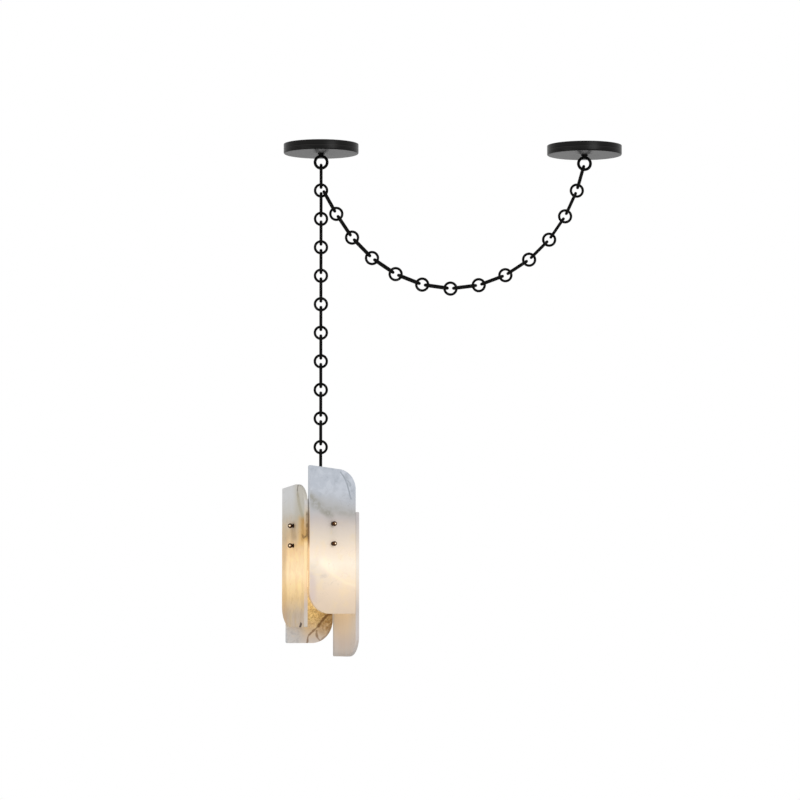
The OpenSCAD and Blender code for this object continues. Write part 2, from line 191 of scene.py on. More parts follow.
class Finish(Nodes):
    """A material in the making, on object coordinates in metres."""

    def __init__(self, name):
        self.material = bpy.data.materials.new(name)
        self.material.use_nodes = True
        super().__init__(self.material.node_tree, "Principled BSDF")
        self.place = self.node("ShaderNodeTexCoord", {}, {}, "Object")

    def noise(self, at, scale, detail=3.0, rough=0.55, warp=0.0):
        """Clouds from 0 to 1. The scale is how many there are in a metre."""
        places = {"Vector": at, "Scale": scale, "Detail": detail, "Roughness": rough}
        places["Distortion"] = warp
        return self.node("ShaderNodeTexNoise", {}, places)

    def mapped(self, at, turn=0.0, scale=(1, 1, 1), shift=(0, 0, 0)):
        """Coordinates that are turned about the upright, scaled and shifted."""
        places = {"Vector": at, "Rotation": (0, 0, turn), "Scale": scale, "Location": shift}
        return self.node("ShaderNodeMapping", {}, places)

    def parts(self, vector):
        """The three numbers of a vector."""
        split = self.node("ShaderNodeSeparateXYZ", {}, {0: vector}).socket.node
        return [Value(self, socket) for socket in split.outputs]

    def bump(self, height, strength, distance):
        places = {"Height": height, "Strength": strength, "Distance": distance}
        self.set(Normal=self.node("ShaderNodeBump", {}, places))

    def done(self):
        """Prints the size of the finish and gives its material."""
        print(self.material.name, "has", len(self.tree.nodes), "nodes")
        return self.material


def tone(red, green, blue):
    """A screen colour from 0 to 255 as the light values that a shader takes."""
    part = [value / 255 for value in (red, green, blue)]
    return tuple(v / 12.92 if v <= 0.04045 else ((v + 0.055) / 1.055) ** 2.4 for v in part)


print("mid grey on the screen is", round(tone(128, 128, 128)[0], 3), "in light")

# %% [markdown]
# The studio is plain: a surround that the camera and all reflections see at full white,
# and two large soft lamps. The surround could light the lamp as brightly as it looks,
# but that would bleach the stone, so on matt surfaces it shines less.

# %% Studio
scene = bpy.context.scene
scene.view_settings.view_transform = "Standard"
surround_light = 0.62
world = bpy.data.worlds.new("studio")
scene.world = world
world.use_nodes = True
sky = Nodes(world.node_tree, "Background")
sky.set(Color=(1, 1, 1), Strength=surround_light + sky.seen() * (1 - surround_light))
slabs_middle = Vector((0, 0, -0.84))


def soft_lamp(name, place, size, watts):
    """A large square lamp that shines from a place towards the middle of the slabs."""
    data = bpy.data.lights.new(name, "AREA")
    data.size = size
    data.energy = watts
    lamp = bpy.data.objects.new(name, data)
    lamp.location = place
    aim = slabs_middle - Vector(place)
    lamp.rotation_euler = aim.to_track_quat("-Z", "Y").to_euler()
    scene.collection.objects.link(lamp)
    print(name, "lamp:", watts, "W,", size, "m wide,", round(aim.length, 2), "m away")


soft_lamp("key", (1.6, -2.6, 0.4), 1.2, 26)
soft_lamp("fill", (-2.4, -2.0, -0.6), 1.6, 16)

# %% [markdown]
# The floor is a pale matt disc that takes the lamp's shadow, so far down that the
# photograph's view doesn't reach it. Views from the side show its far edge, so it glows
# a little, to come near the white of the surround. A larger disc would only move it.

# %% Floor
floor_z = -1.9
floor_mesh = bmesh.new()
bmesh.ops.create_circle(floor_mesh, cap_ends=True, segments=128, radius=5)
bmesh.ops.translate(floor_mesh, verts=floor_mesh.verts, vec=(0, 0, floor_z))
floor_data = bpy.data.meshes.new("floor")
floor_mesh.to_mesh(floor_data)
floor_mesh.free()
floor = bpy.data.objects.new("floor", floor_data)
scene.collection.objects.link(floor)

floor_glow = 0.18
floor_finish = Finish("floor_pale")
floor_grain = floor_finish.noise(floor_finish.place, 40, 4)
floor_finish.set(
    Base_Color=floor_finish.mix(floor_grain, tone(236, 236, 236), tone(244, 244, 244)),
    Emission_Color=floor_finish.scaled((1.0, 1.0, 1.0), floor_finish.seen() * floor_glow),
    Emission_Strength=1.0,
    Roughness=0.9,
)
floor_data.materials.append(floor_finish.done())

# %% [markdown]
# The chain and the loops are blackened steel: a thin dark oxide skin, oiled, so it is
# nearly black with a soft sheen. As a metal it would mirror the white room and turn
# grey, so it is a dark coat with little gloss, clouded and finely pitted.

# %% Blackened steel
steel = Finish("blackened_steel")
steel_cloud = steel.noise(steel.place, 160, 4)
steel_pits = steel.noise(steel.place, 1400, 3, 0.7)
steel.set(
    Base_Color=steel.mix(steel_cloud.step(0.35, 0.7), tone(9, 9, 9), tone(20, 19, 18)),
    Metallic=0.0,
    Roughness=0.36 + steel_cloud * 0.2,
    IOR=1.1,
)
steel.bump(steel_cloud * 0.6 + steel_pits * 0.4, 0.25, 0.6 * mm)
chain_steel = steel.done()

# %% [markdown]
# The canopies have a satin black coat over brushed sheet. Seen from the front they are
# almost black, but the underside is seen at a grazing angle, where any smooth coat
# mirrors the white room, so it looks mid grey. The brush marks run round the rim: they
# are noise in radius and height, which doesn't change on the way round.

# %% Canopy black


def canopy_finish(name, middle):
    """Brushed satin black. The marks run round the axis through the point middle."""
    made = Finish(name)
    local = made.mapped(made.place, shift=(-middle.x, -middle.y, 0))
    across, back, up = made.parts(local)
    radius = (across * across + back * back) ** 0.5
    rings = made.node("ShaderNodeCombineXYZ", {}, {0: radius * 500, 1: up * 420, 2: 0.0})
    drift = made.noise(made.place, 9, 2)
    streaks = made.noise(rings, 1.0, 4, 0.65)
    marks = streaks * 0.7 + drift * 0.3
    made.set(
        Base_Color=made.mix(streaks.step(0.42, 0.58), tone(2, 2, 2), tone(32, 31, 30)),
        Roughness=0.25 + marks * 0.15,
        Metallic=0.0,
        IOR=1.2,
    )
    made.bump(streaks, 0.18, 0.4 * mm)
    return made.done()


# %% [markdown]
# Bright parts: zinc-plated nuts and crossbars, brass in the lampholder, nickel on the
# bulb's base. They share one recipe, a metal whose polish is clouded by handling.

# %% Plated metals


def metal_finish(name, light, dark, rough, grain=300):
    """Bare metal between two tones, clouded by its grain and by wider wear."""
    made = Finish(name)
    cloud = made.noise(made.place, grain, 4)
    wear = made.noise(made.place, grain / 8, 3)
    made.set(
        Base_Color=made.mix((cloud * 0.6 + wear * 0.4).step(0.3, 0.7), dark, light),
        Metallic=1.0,
        Roughness=rough + wear * 0.15,
    )
    made.bump(cloud, 0.1, 0.3 * mm)
    return made.done()


zinc = metal_finish("zinc_plate", tone(208, 204, 190), tone(168, 164, 150), 0.3)
brass = metal_finish("lampholder_brass", tone(222, 190, 120), tone(180, 146, 84), 0.25)
nickel = metal_finish("nickel_base", tone(214, 212, 206), tone(176, 174, 168), 0.22)
bronze = metal_finish("dark_bronze", tone(84, 70, 54), tone(50, 41, 32), 0.35)

# %% [markdown]
# Two quiet materials that are hardly seen: the moulded resin of the lampholder and the
# rubber of the pads behind the stone. Neither is a metal, so they share a matt recipe.

# %% Resin and rubber


def matt_finish(name, light, dark, rough, grain):
    """A matt, finely grained skin between two tones."""
    made = Finish(name)
    cloud = made.noise(made.place, grain, 5)
    made.set(Base_Color=made.mix(cloud, dark, light), Roughness=rough + cloud * 0.15)
    made.bump(cloud, 0.2, 0.4 * mm)
    return made.done()


resin = matt_finish("dark_resin", tone(58, 50, 44), tone(40, 34, 30), 0.4, 260)
rubber = matt_finish("pad_rubber", tone(44, 44, 44), tone(28, 28, 28), 0.7, 700)

# %% [markdown]
# The bulb is frosted glass, lit. Its glow is strongest round the middle of the globe
# and falls off at the neck, as the frosting scatters it. Real glass round a filament
# would be slow and noisy to trace, so the skin of the globe itself glows.

# %% Lit bulb
glass_low, glass_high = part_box("bulb_glass")
globe_r = (glass_high[0] - glass_low[0]) / 2
globe_middle = glass_low[2] + globe_r
bulb = Finish("lit_frosted_glass")
bulb_drop = bulb.parts(bulb.place)[2]
bulb_frost = bulb.noise(bulb.place, 220, 4)
bulb_heat = (bulb_drop + bulb_frost * 4 * mm).step(glass_high[2], globe_middle + globe_r / 2)
bulb.set(
    Base_Color=bulb.mix(bulb_frost, tone(246, 240, 226), tone(255, 250, 240)),
    Roughness=0.35,
    Emission_Color=bulb.mix(bulb_heat, tone(214, 150, 84), tone(255, 236, 200)),
    Emission_Strength=0.95,
)
bulb_glow = bulb.done()
print("globe:", round(globe_r / mm, 1), "mm in radius, its middle at", round(globe_middle, 4))

# %% [markdown]
# The lamp body stands turned about the upright. Its turn could be typed in, but read
# from the front slab's largest face it follows the frame. So do the slabs' depths.

# %% Where the slabs stand
slab_turns = {"stone_front": 0, "stone_left": -90, "stone_back": 180, "stone_right": 90}
front_mesh = frame["nodes"]["stone_front"].data
front_faces = [face for face in front_mesh.polygons if face.normal.y < -0.5]
front_normal = max(front_faces, key=lambda face: face.area).normal
shade_turn = math.atan2(front_normal.x, -front_normal.y)


def slab_depths(node):
    """The depths of a slab's outer and inner face from the lamp's axis, in millimetres."""
    back = Matrix.Rotation(-shade_turn - math.radians(slab_turns[node]), 3, "Z")
    depths = [(back @ vert.co).y * 1000 for vert in frame["nodes"][node].data.vertices]
    return min(depths), max(depths)


print("the lamp is turned by", round(math.degrees(shade_turn), 1), "degrees")
print("front slab's faces at", [round(d, 1) for d in slab_depths("stone_front")], "mm")

# %% [markdown]
# The stone is alabaster, cloudy and banded, and so thin that the bulb shines through it
# and tints it from cream to amber. Light inside stone is slow and noisy to trace, so it
# is painted instead: each slab has a bed, the colour that daylight shows, and a light,
# what comes through from the bulb. Both change with height. Lengths are in millimetres
# in the slab's own plane: along, from its left edge to its right as seen from outside,
# and height.

# %% Stone recipe


class Stone(Finish):
    """A slab's finish, on coordinates turned with the side that the slab stands on."""

    def __init__(self, node):
        super().__init__(node)
        turn = shade_turn + math.radians(slab_turns[node])
        local = self.mapped(self.place, turn=-turn)
        along, depth, height = self.parts(local)
        outer, inner = slab_depths(node)
        self.local = local
        self.along = along * 1000
        self.height = height * 1000
        self.deep = depth * 1000 - outer
        self.inside = self.deep.step(1.5, inner - outer)
        # Clouds of falling size, about 70, 20, 8 and 2 mm, and one that bends the veins.
        self.cloud = self.noise(local, 15, 5, 0.55, 0.3)
        self.blotch = self.noise(local, 46, 5, 0.62, 0.4)
        self.fine = self.noise(local, 120, 5, 0.6, 0.2)
        self.grain = self.noise(local, 480, 4, 0.6)
        self.wander = self.noise(local, 26, 4, 0.6)

    def layers(self, stops, wave=0.0):
        """Blends (height, r, g, b) colours from the top down. The clouds shift them by a wave."""
        at = self.height + (self.cloud - 0.5) * wave
        start, *colour = stops[0]
        shade = tone(*colour)
        for height, *colour in stops[1:]:
            shade = self.mix(at.share(start, height), shade, tone(*colour))
            start = height
        return shade

    def tint(self, share, *colour):
        """Lays a share of a screen colour over the bed."""
        self.bed = self.mix(share, self.bed, tone(*colour))

    def let_through(self, amount):
        """Lets only an amount of the light through, or more of it above 1."""
        self.light = self.scaled(self.light, amount)

    def part(self, share, bed, light):
        """Gives a part of the slab its own bed and light."""
        self.bed = self.mix(share, self.bed, bed)
        self.light = self.mix(share, self.light, light)

    def line(self, start, end, half, soft, wobble=6.0, fade=8.0, ragged=0.0):
        """1 on a wavering line between two (along, height) points, and 0 off it.

        The wobble says how far it wanders, fade how gently it ends, ragged how torn it is.
        """
        run = Vector(end) - Vector(start)
        length = run.length
        run = run / length
        side_start = start[1] * run.x - start[0] * run.y
        far_start = start[0] * run.x + start[1] * run.y
        side = self.along * run.y + self.height * (-run.x) + side_start
        side = side + (self.wander - 0.5) * wobble * 2
        far = self.along * run.x + self.height * run.y - far_start
        ends = far.step(-fade, fade * 0.3) * far.step(length + fade, length - fade * 0.3)
        away = abs(side) + (self.fine - 0.5) * ragged
        return away.step(half + soft, half) * ends

    def path(self, points, half, soft, wobble=3.0, fade=3.0, ragged=0.0):
        """1 on a bent line through several points."""
        whole = None
        for start, end in zip(points, points[1:]):
            piece = self.line(start, end, half, soft, wobble, fade, ragged)
            whole = piece if whole is None else whole.most(piece)
        return whole

    def spot(self, middle, radius, soft, flat=1.0):
        """1 inside a ragged spot and 0 outside it. Flat above 1 makes it lower, below 1 taller."""
        across = self.along - middle[0]
        up = (self.height - middle[1]) * flat
        away = (across * across + up * up) ** 0.5 + (self.fine - 0.5) * radius
        return away.step(radius + soft, radius)

    def streaks(self, width, length, seed=0.0):
        """Upright fibres of the given width and length in millimetres."""
        scale = (1000 / width, 1000 / width, 1000 / length)
        stretched = self.mapped(self.local, scale=scale, shift=(seed, seed, 0))
        return self.noise(stretched, 1.0, 3, 0.55, 0.4)


# %% [markdown]
# One function holds what all four slabs share: clouds in the bed, a fine mottling of the
# light, and hair veins. The inner face, next to the bulb, is brighter. What is a slab's
# own is painted by a function that is handed in, so that the shared stone is written
# only once.

# %% Slab finish
dark_brown = tone(66, 42, 22)
sawn_from = 50.2  # The sawn ends' own colours begin this far along,
sawn_full = 51.2  # and are alone from here on.
slab_finishes = {}


def slab_finish(node, beds, lights, paint):
    """Cloudy stone lit from behind. The paint function adds the slab's own figure."""
    slab = Stone(node)
    cloudy = 0.95 + slab.cloud * 0.06 + slab.fine * 0.05
    slab.bed = slab.scaled(slab.layers(beds, wave=36), cloudy)
    uneven = 0.9 + slab.blotch * 0.2 + slab.inside * 0.15
    slab.light = slab.scaled(slab.layers(lights, wave=10), uneven)
    brown_line = slab.noise(slab.local, 19, 3, 0.5, 1.2)
    slab.dark = abs(brown_line - 0.5).step(0.010, 0.0) * slab.cloud.step(0.45, 0.62) * 0.14
    paint(slab)
    clear = 1 - slab.dark
    slab.set(
        Base_Color=slab.mix(clear, dark_brown, slab.bed),
        Emission_Color=slab.scaled(slab.light, clear),
        Emission_Strength=1.0,
        Roughness=0.42 + slab.grain * 0.2,
        IOR=1.5,
    )
    slab.bump(slab.grain * 0.5 + slab.fine * 0.5 - slab.dark, 0.22, 0.9 * mm)
    slab_finishes[node] = slab.done()


# %% [markdown]
# The front slab is the palest: cloudy blue grey at the top with two hair cracks, a
# speckled grey-green band, then rose beige, and cream where the bulb is. A bright seam
# crosses the glow, and below it the stone is denser, and lilac at the left edge. Noise
# could give veins, but anywhere. These have their places, so they are drawn as lines
# between points.

# %% Front slab
front_beds = (
    (-695, 190, 196, 206),
    (-742, 190, 191, 194),
    (-766, 204, 194, 189),
    (-800, 208, 197, 189),
    (-930, 207, 191, 178),
)
front_lights = (
    (-762, 0, 0, 0),
    (-800, 122, 109, 82),
    (-826, 160, 142, 114),
    (-850, 174, 165, 141),
    (-880, 166, 150, 119),
    (-905, 152, 129, 89),
    (-950, 104, 82, 36),
)
# The sawn end's bed. Its brown band, from -756 to -802, is painted shade of the gap to the left
# slab.
front_end_beds_and_gap_shade = (
    (-712, 198, 203, 211),
    (-738, 206, 204, 202),
    (-756, 200, 178, 152),
    (-802, 196, 168, 132),
    (-820, 214, 190, 160),
)
front_end_lights = (
    (-806, 0, 0, 0),
    (-824, 160, 142, 112),
    (-860, 134, 122, 100),
    (-905, 112, 106, 92),
    (-950, 96, 80, 48),
)


def paint_front_top(slab):
    """Blue grey clouds, a soft speckled band, and two ragged hair cracks."""
    # Clouds, above the band only.
    high = slab.height.step(-735, -705)
    slab.tint(slab.blotch.step(0.5, 0.64) * high * 0.6, 208, 213, 222)
    slab.tint(slab.blotch.step(0.47, 0.34) * high * 0.6, 168, 176, 186)
    # The band falls from the left edge, with a branch to the right and a smear below.
    speckle = slab.blotch.step(0.36, 0.6) * 0.55 + slab.fine.step(0.4, 0.6) * 0.45
    haze = slab.line((-56, -724), (52, -752), 5, 20, 10, 12) * 0.3
    band = slab.path([(-56, -716), (-30, -736), (-4, -755)], 1, 15, 7, 12)
    branch = slab.line((-24, -738), (50, -750), 1, 12, 8, 12) * 0.5
    smear = slab.line((-12, -744), (2, -790), 1, 14, 7, 14) * 0.35
    slab.tint(haze, 174, 170, 163)
    slab.tint(band.most(branch).most(smear) * speckle * 0.8, 148, 145, 132)
    # The cracks come down from the top edge, with specks beside them.
    crack_points = [(17, -667), (26, -680), (33, -694), (35, -702), (42, -721)]
    crack = slab.path(crack_points, 0.3, 2.2, 3, 2, 3.0)
    second = slab.path([(28, -682), (38, -689), (43, -706)], 0.1, 2.4, 4, 3, 3.4) * 0.6
    feathers = crack.most(second) * (0.45 + slab.fine.step(0.35, 0.6) * 0.45)
    beside = slab.line((26, -674), (44, -704), 1.5, 7, 4, 4, 5.0) * slab.fine.step(0.42, 0.6)
    slab.tint(beside * 0.5, 156, 163, 170)
    slab.tint(feathers, 140, 148, 158)


def paint_front(slab):
    """The figure of the top, the seam and the stone round it, and the sawn end."""
    paint_front_top(slab)
    # The stone below the seam is denser, the more so to the left.
    over = slab.along.step(20, -24) * 0.2 + 0.04
    below = (slab.height + slab.along * 0.45).step(-862, -884) * slab.height.step(-955, -920)
    seam = slab.path([(-22, -850), (-9, -866), (26, -887), (50, -894)], 0.4, 4.5, 4, 6, 3.0)
    white = slab.line((-22, -842), (4, -868), 2, 15, 6, 10)
    slab.let_through(1 - below * over + white * 0.14)
    slab.light = slab.mix(seam * 0.3, slab.light, tone(190, 176, 132))
    # A dull patch, a faint mottled one, and lilac by the left edge.
    patch = slab.line((-26, -877), (-15, -875), 1.2, 5, 3, 5, 3.0)
    mottle = slab.line((-50, -856), (-34, -846), 4, 9, 6, 8, 6.0) * 0.14
    lilac = slab.line((-51, -872), (-47, -925), 4, 15, 6, 10)
    slab.let_through(1 - (lilac * 0.36).most(patch * 0.3).most(mottle))
    slab.tint(lilac * 0.7, 204, 189, 190)
    warm = slab.blotch.step(0.5, 0.64) * slab.height.step(-755, -790)
    slab.tint(warm * 0.4, 212, 194, 166)
    # The sawn end has its own light and its own bed, whose brown band is painted shade of the gap.
    end = slab.along.step(-sawn_from, -sawn_full)
    slab.part(end, slab.layers(front_end_beds_and_gap_shade), slab.layers(front_end_lights))


slab_finish("stone_front", front_beds, front_lights, paint_front)

# %% [markdown]
# The left slab is the most amber, with faint upright fibres like wood. Its top has a
# crack that goes on as an olive vein, its right edge a rust stain that ends in a brown
# V, its foot a short black crack. A dull patch lies between its screws, and its left
# edge is darker. The sawn end is pale, with a brown line of painted shade next to the
# gap. The fibres are noise that is stretched upright, as drawn ones would look even.

# %% Left slab
left_beds = (
    (-715, 216, 216, 216),
    (-752, 210, 206, 198),
    (-790, 202, 182, 152),
    (-920, 204, 178, 144),
    (-962, 207, 187, 165),
)
left_lights = (
    (-760, 0, 0, 0),
    (-800, 104, 80, 40),
    (-826, 162, 124, 66),
    (-848, 176, 150, 104),
    (-872, 182, 160, 120),
    (-895, 170, 144, 88),
    (-920, 134, 106, 38),
    (-952, 0, 0, 0),
)
left_end_beds = (
    (-730, 206, 203, 200),
    (-752, 214, 198, 172),
    (-785, 212, 168, 104),
    (-803, 210, 168, 98),
    (-811, 206, 186, 150),
    (-905, 208, 182, 148),
    (-932, 210, 192, 178),
    (-962, 214, 203, 190),
)
left_end_lights = (
    (-800, 0, 0, 0),
    (-811, 170, 136, 78),
    (-849, 180, 160, 112),
    (-881, 182, 152, 108),
    (-905, 146, 116, 66),
    (-935, 0, 0, 0),
)


def paint_left_veins(slab):
    """The crack at the top, the olive vein below it, the rust by the edge, and the foot's crack."""
    # The crack opens in a blot at the top edge and thins out to a hair.
    blob = slab.spot((24, -691), 1.6, 1.6, 0.7) * 0.9
    crack = slab.path([(23, -690), (18.5, -706)], 1.0, 1.8, 1, 1, 1.4) * 0.7
    hair = slab.path([(18.5, -704), (23, -717)], 0.3, 2.2, 1.5, 3, 1.4) * 0.4
    olive_points = [(20, -711), (24, -719), (31, -736), (40, -751), (47, -764)]
    olive = slab.path(olive_points, 1.5, 8, 4, 7)
    slab.tint(olive * 0.6, 174, 164, 134)
    # Rust runs down by the right edge to the V, whose other arm is on the sawn end.
    stain = slab.line((46, -764), (46, -803), 4, 12, 4, 9)
    stain = stain * (0.5 + slab.fine.step(0.3, 0.6) * 0.5)
    slab.tint(stain * 0.95, 192, 142, 62)
    vee = slab.path([(41, -793), (45, -799), (49, -799)], 0.8, 3.0, 2, 2, 2.0)
    vee = vee.most(slab.spot((48, -797), 1.8, 2.3) * 0.9)
    slab.tint(vee * 0.9, 144, 98, 12)
    slab.let_through(1 - (stain * 0.4).most(vee * 0.85))
    # The black crack at the foot, and the shade of the lower edge.
    black = slab.path([(38, -969), (35, -974), (30.5, -980)], 3.2, 1.4, 1, 0.5, 1.4)
    foot = slab.height.step(-976.5, -979.5) * 0.25
    slab.dark = slab.dark.most(blob).most(crack).most(hair).most(black).most(foot)


def paint_left_end(slab):
    """The pale sawn end, with a brown line of painted shade by the gap, and the second arm of the
    V.
    """
    sawn = slab.along.step(sawn_from, sawn_full)
    end_light = slab.scaled(slab.layers(left_end_lights), 1 - slab.inside * 0.32)
    slab.part(sawn, slab.layers(left_end_beds), end_light)
    # A brown upright line on the sawn end, from -742 to -803, is painted shade of the gap beside
    # it.
    brown_line = slab.deep.step(1.8, 4.6) * slab.height.step(-803, -793) * slab.height.step(-742, -754)
    brown_line = brown_line * (0.45 + slab.fine.step(0.35, 0.6) * 0.55)
    arm = abs(slab.height + 799 - slab.deep * 0.7).step(3.4, 0.8)
    brown_line = brown_line.most(arm) * sawn
    slab.tint(brown_line * 0.75, 104, 76, 32)
    slab.dark = slab.dark * (1 - sawn)


def paint_left(slab):
    """Fibres and flecks, the darker left edge, the yellow right side, the patch and the veins."""
    fibres = slab.streaks(13, 60, 3.1)
    flecks = slab.streaks(5, 15, 8.3)
    low = slab.height.step(-740, -790)
    slab.tint(fibres.step(0.44, 0.66) * low * 0.35, 186, 154, 112)
    slab.tint(flecks.step(0.55, 0.68) * low * 0.35, 170, 138, 98)
    slab.tint(slab.blotch.step(0.5, 0.64) * low * 0.5, 218, 192, 146)
    slab.let_through(1.1 - fibres.step(0.45, 0.7) * 0.08 - flecks.step(0.5, 0.7) * 0.1)
    # Less light comes through the left edge and the brown specks.
    specks = slab.fine.step(0.67, 0.71) * slab.height.step(-800, -840) * 0.35
    rim = slab.line((-42, -788), (-42, -985), 3, 16, 4, 20)
    rim_shade = rim * (0.36 + slab.height.step(-890, -850) * 0.2)
    slab.let_through(1 - rim_shade.most(specks * 0.6))
    # The right side is olive above, and yellow where the light begins.
    right = slab.along.step(-8, 24) * slab.height.step(-790, -755)
    slab.tint(right * 0.65, 192, 184, 164)
    slab.tint(rim * slab.height.step(-800, -840) * 0.5, 206, 164, 112)
    yellow = slab.line((40, -760), (38, -812), 6, 18, 5, 10)
    slab.tint(yellow * 0.5, 219, 170, 70)
    slab.tint(specks, 150, 104, 60)
    # The patch between the screws.
    patch = slab.line((0, -770), (3, -800), 4, 12, 4, 8) * (0.35 + flecks * 0.5)
    slab.tint(patch, 166, 136, 98)
    slab.let_through(1 - patch * 0.6)
    paint_left_veins(slab)
    paint_left_end(slab)


slab_finish("stone_left", left_beds, left_lights, paint_left)

# %% [markdown]
# The back slab shows only its foot from the front: golden and mottled near the light,
# brown at one edge, with a bold dark vein that forks, and a pale grey corner. Its
# mottling is finer and rougher than clouds, so it has noise of its own. The hidden part
# is in the same manner, and its vein is made up.

# %% Back slab
back_beds = (
    (-750, 204, 202, 199),
    (-790, 206, 186, 152),
    (-850, 206, 180, 130),
    (-955, 206, 180, 130),
    (-985, 211, 195, 174),
    (-1005, 212, 204, 197),
)
back_lights = (
    (-820, 0, 0, 0),
    (-850, 118, 94, 46),
    (-885, 148, 128, 80),
    (-925, 146, 128, 84),
    (-950, 132, 114, 68),
    (-978, 90, 76, 52),
    (-1002, 0, 0, 0),
)


def paint_back_veins(slab, golden):
    """The bold brown vein that forks, its shaded edge, and a net of brown hairs."""
    wide_points = [(-50, -949), (-37, -955), (-24.5, -968), (-17, -977)]
    wide = slab.path(wide_points, 1.4, 2.4, 3, 2, 7.0)
    narrow = slab.path([(-18, -976), (-8.5, -984), (2.5, -996), (8, -1012)], 0.7, 2.2, 3, 2, 7.0)
    bold = wide.most(narrow * 0.85)
    fork = slab.path([(-15, -984), (-15, -992), (-16, -999), (-26, -1010)], 0.6, 2.6, 3, 2, 8.0)
    upper = slab.path([(-50, -770), (-14, -806), (4, -852), (44, -890)], 0.4, 2.6, 9, 6, 3.0)
    rim_points = [(-50, -950), (-48.5, -970), (-45.5, -982), (-38.5, -995), (-22, -1007)]
    edge = slab.path(rim_points, 0.6, 4, 1, 3, 5.0)
    net = abs(slab.noise(slab.local, 52, 4, 0.6, 1.5) - 0.5).step(0.03, 0.0) * golden
    brown = (bold * 0.9).most(fork * 0.7).most(upper * 0.6)
    brown = brown.most(edge * 0.5).most(net * 0.5)
    slab.tint(brown, 124, 88, 42)
    slab.let_through(1 - brown * 0.85)
    slab.dark = slab.dark.most(bold * 0.12)


def paint_back(slab):
    """Golden mottling, the grey corner, the brown edge, crumbs of both tones, and the veins."""
    mottle = slab.noise(slab.local, 70, 5, 0.68, 0.9)
    crumb = slab.noise(slab.local, 190, 4, 0.7, 0.6)
    foot = slab.height.step(-960, -992)
    golden = slab.height.step(-780, -830) * (1 - foot)
    slab.tint(mottle.step(0.5, 0.64) * golden * 0.7, 224, 206, 150)
    slab.tint(mottle.step(0.48, 0.36) * golden * 0.65, 168, 130, 62)
    slab.let_through(0.72 + mottle * 0.4)
    # The grey corner lets little light through.
    grey = slab.along.step(4, 30) * slab.height.step(-955, -985)
    slab.tint(grey, 203, 202, 201)
    slab.tint(mottle.step(0.5, 0.62) * grey * 0.6, 178, 176, 176)
    slab.tint(mottle.step(0.46, 0.38) * grey * 0.6, 216, 206, 198)
    slab.let_through(1 - grey * 0.8)
    # The brown edge.
    brown = slab.along.step(-10, -34)
    brown = brown * slab.height.step(-925, -950) * slab.height.step(-1002, -976)
    slab.tint(brown * (0.15 + mottle.step(0.4, 0.62) * 0.85), 142, 104, 58)
    slab.let_through(1 - brown * 0.6)
    # Pale and dark crumbs on both.
    pale = crumb.step(0.5, 0.4) * golden.most(brown)
    slab.tint(pale * 0.4, 236, 210, 154)
    grainy = crumb.step(0.46, 0.6) * golden.most(brown) * 0.5
    slab.tint(grainy, 170, 136, 76)
    slab.let_through(1.08 - grainy * 0.5)
    paint_back_veins(slab, golden)


slab_finish("stone_back", back_beds, back_lights, paint_back)

# %% [markdown]
# The right slab hangs lowest. It is tan where it leaves the light, and fades to a warm
# grey at its foot. The front shows its inner face, which stays bright further down, so
# it has lights of its own, and darkens a little at the far edge and the foot. The sawn
# ends are paler and greyer.

# %% Right slab
right_beds = (
    (-770, 208, 206, 203),
    (-820, 208, 194, 178),
    (-950, 208, 188, 164),
    (-985, 206, 188, 170),
    (-1030, 200, 192, 185),
)
right_lights = (
    (-770, 0, 0, 0),
    (-812, 112, 94, 66),
    (-850, 152, 134, 104),
    (-880, 150, 128, 92),
    (-915, 122, 96, 56),
    (-965, 70, 48, 14),
    (-990, 0, 0, 0),
)
right_inner_lights = (
    (-770, 0, 0, 0),
    (-812, 112, 94, 66),
    (-850, 156, 138, 108),
    (-915, 146, 128, 98),
    (-960, 126, 118, 100),
    (-985, 114, 108, 94),
    (-1010, 74, 66, 62),
    (-1034, 0, 0, 0),
)


def paint_right(slab):
    """Faint fibres, the inner face's own light, its greyer near side, its rims, and the ends."""
    fibres = slab.streaks(16, 240, 7.7)
    slab.tint(fibres.step(0.4, 0.7) * 0.3, 196, 176, 152)
    slab.light = slab.mix(slab.inside, slab.light, slab.layers(right_inner_lights))
    near = slab.along.step(-12, -40) * slab.height.step(-925, -950)
    slab.tint(near * 0.5, 196, 188, 184)
    slab.let_through(1 - near * 0.2)
    rims = (slab.along.step(41, 50.5) * 0.55).most(slab.height.step(-1022, -1036) * 0.25)
    slab.tint(rims * slab.inside, 148, 142, 136)
    ends = abs(slab.along).step(sawn_from, sawn_full)
    end_light = slab.scaled(slab.layers(front_lights), 0.78 - slab.height.step(-900, -950) * 0.5)
    slab.part(ends, tone(203, 197, 196), end_light)


slab_finish("stone_right", right_beds, right_lights, paint_right)

# %% [markdown]
# The ball heads are aged brass, almost black brown, and darkest round the neck. Each has
# a painted highlight, a small bright spot: straight out on the front and the back slab,
# and turned to the front, but much fainter, on the two side slabs. The lamps' highlight
# alone would be too dull, so brown turns to bright brass by how far a point lies below
# the ball's tip.

# %% Ball brass
balls = Finish("aged_ball_brass")
ball_turned = balls.mapped(balls.place, turn=-shade_turn)
ball_across, ball_depth = balls.parts(ball_turned)[:2]
ball_r = 5.0 * mm
ball_reach = 7.0 * mm
front_face = slab_depths("stone_front")[0]
side_face = slab_depths("stone_left")[0]
on_side = abs(ball_across).step(40 * mm, 45 * mm)

# How far below a ball's tip a point lies. The fade makes the side spots fainter.
spot_turn = math.radians(55)
side_fade = 0.42
front_tip = ball_reach + ball_r - front_face * mm
side_tip = (ball_reach - side_face * mm) * math.cos(spot_turn) + ball_r
side_out = abs(ball_across) * math.cos(spot_turn) - ball_depth * math.sin(spot_turn)
front_below = (abs(ball_depth) - front_tip) * 1000
side_below = (side_out - side_tip) * 1000 - side_fade
ball_below_tip = front_below * (1 - on_side) + side_below * on_side

